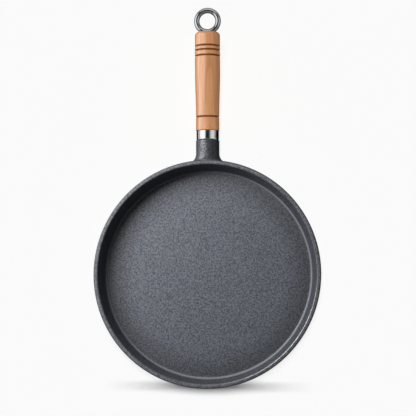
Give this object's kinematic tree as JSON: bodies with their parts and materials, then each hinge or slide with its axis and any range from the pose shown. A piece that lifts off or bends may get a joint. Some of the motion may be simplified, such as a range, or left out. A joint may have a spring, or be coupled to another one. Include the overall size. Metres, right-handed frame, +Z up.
{
  "type": "crepe pan",
  "caption": "Shallow round cast-iron crepe pan with a low sloping wall and a turned wooden handle that unscrews from its neck; a metal ring at the handle's end hangs it up.",
  "frame": {"origin": "centre of the flat underside of the pan", "axes": "+Z up out of the pan, +Y from the pan's centre towards the handle, +X to the right when looking along +Y"},
  "size_m": [0.26, 0.439, 0.0391],
  "materials": {
    "cast_iron": "seasoned, fine sand-cast grain, dull",
    "ferrule_steel": "drawn and polished",
    "beech": "turned, oiled, burnt grooves",
    "rod_steel": "zinc plated",
    "ring_chrome": "bright plated"
  },
  "bodies": {
    "pan": {"pan_body": "cast_iron"},
    "ferrule": {"ferrule": "ferrule_steel"},
    "handle": {"wooden_grip": "beech", "tie_rod": "rod_steel", "hanging_ring": "ring_chrome"}
  },
  "joints": [
    {"name": "handle_out", "type": "slide", "parent": "pan", "child": "ferrule", "axis": [0, 0.9976, 0.0698], "range_m": [0, 0.0138]},
    {"name": "handle_turn", "type": "hinge", "parent": "ferrule", "child": "handle", "pos_m": [0, 0.22178, 0.02082], "axis": [0, 0.9976, 0.0698], "range_deg": [0, 3960]}
  ],
  "couplings": [
    {"joint": "handle_out", "follows": "handle_turn", "m_per_rad": 0.00019894}
  ]
}
